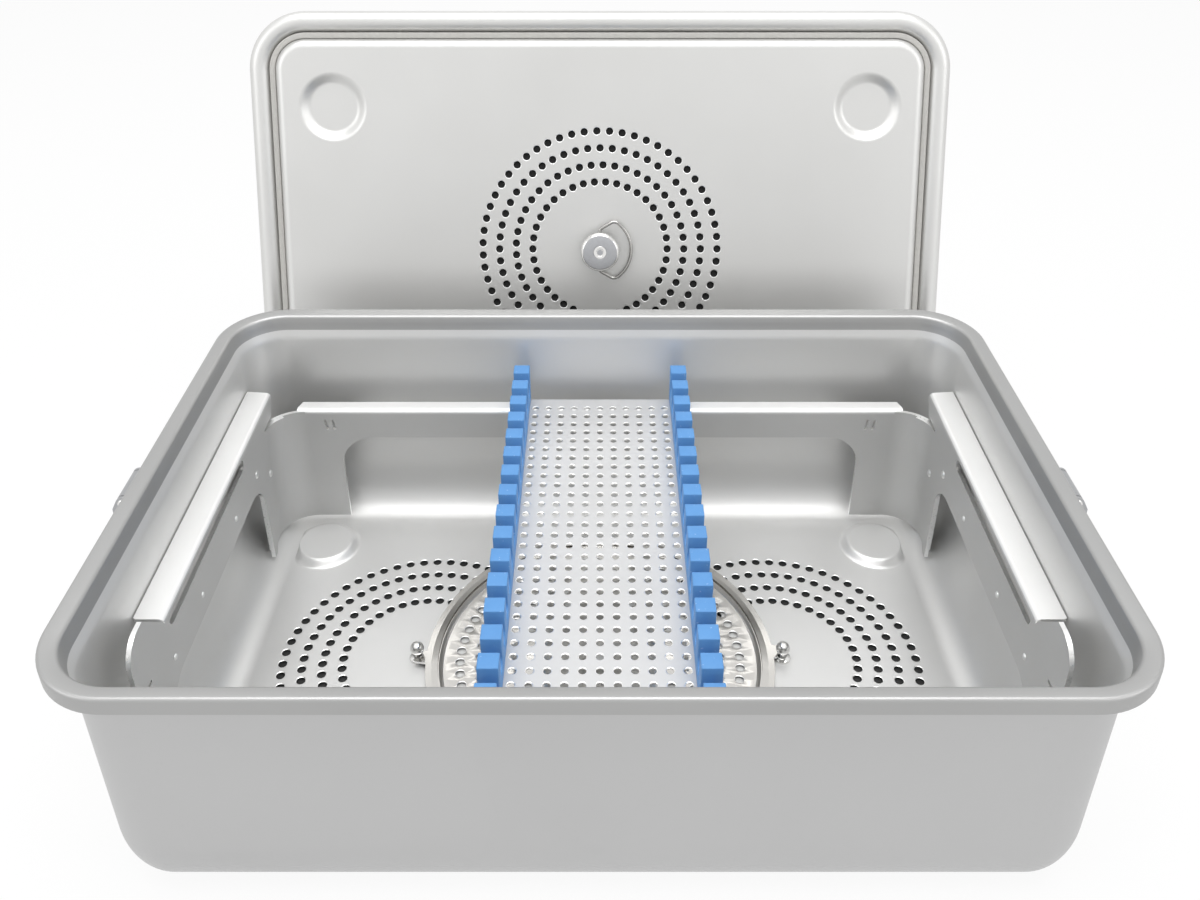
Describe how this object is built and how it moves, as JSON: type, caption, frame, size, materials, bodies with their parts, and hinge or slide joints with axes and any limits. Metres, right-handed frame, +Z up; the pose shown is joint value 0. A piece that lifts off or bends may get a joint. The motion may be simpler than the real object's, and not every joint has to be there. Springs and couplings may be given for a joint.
{
  "type": "dental instrument cassette",
  "caption": "Open metal sterilising tray with a perforated floor, a sheet-metal insert, a perforated strip with two toothed silicone combs, a round filter plate and a loose lid.",
  "frame": {"origin": "centre of the pan's underside, on the surface it stands on", "axes": "+Z up, +X along the pan's long side, +Y towards the lid that stands behind the pan"},
  "size_m": [0.3466, 0.292, 0.2026],
  "materials": {
    "steel_satin": "satin anodised, very fine grain",
    "insert_sheet": "satin rolled sheet",
    "tray_sheet": "bright satin perforated sheet",
    "steel_polished": "polished stainless steel",
    "chrome_stud": "polished",
    "knob_steel": "matt turned face",
    "seal_grey": "matt silicone seal",
    "blue_silicone": "matt moulded silicone"
  },
  "bodies": {
    "pan": {"body_pan": "steel_satin", "filter_stud_left": "chrome_stud", "filter_stud_right": "chrome_stud", "latch_bracket_left": "insert_sheet", "latch_bracket_right": "insert_sheet", "latch_rivets_left": "chrome_stud", "latch_rivets_right": "chrome_stud"},
    "insert": {"insert_front_band": "insert_sheet", "insert_back_band": "insert_sheet", "insert_rivets": "chrome_stud"},
    "tray": {"rack_tray": "tray_sheet", "rack_left": "blue_silicone", "rack_right": "blue_silicone"},
    "filter": {"filter_plate": "steel_polished"},
    "lid": {"lid_shell": "steel_satin", "lid_seal": "seal_grey", "lid_knob": "knob_steel", "lid_knob_collar": "chrome_stud", "lid_knob_screw": "chrome_stud", "lid_nut": "chrome_stud"},
    "bail": {"lid_bail": "chrome_stud"},
    "latch_left": {"latch_lever_left": "insert_sheet", "latch_pin_left": "chrome_stud"},
    "latch_right": {"latch_lever_right": "insert_sheet", "latch_pin_right": "chrome_stud"}
  },
  "joints": [
    {"name": "insert_lift", "type": "slide", "parent": "pan", "child": "insert", "axis": [0, 0, 1], "range_m": [0, 0.1]},
    {"name": "tray_slide", "type": "slide", "parent": "insert", "child": "tray", "axis": [1, 0, 0], "range_m": [-0.085, 0.085]},
    {"name": "filter_turn", "type": "hinge", "parent": "pan", "child": "filter", "pos_m": [0, 0, 0.002], "axis": [0, 0, 1], "range_deg": [0, 20]},
    {"name": "lid_lift", "type": "slide", "parent": "pan", "child": "lid", "axis": [0, 0, 1], "range_m": [0, 0.15]},
    {"name": "bail_swing", "type": "hinge", "parent": "lid", "child": "bail", "pos_m": [0, 0.14503, 0.10432], "axis": [0, -0.3057, -0.9521], "range_deg": [0, 180]},
    {"name": "latch_swing_left", "type": "hinge", "parent": "pan", "child": "latch_left", "pos_m": [-0.163, 0, 0.0833], "axis": [0, 1, 0], "range_deg": [0, 175]},
    {"name": "latch_swing_right", "type": "hinge", "parent": "pan", "child": "latch_right", "pos_m": [0.163, 0, 0.0833], "axis": [0, -1, 0], "range_deg": [0, 175]}
  ]
}
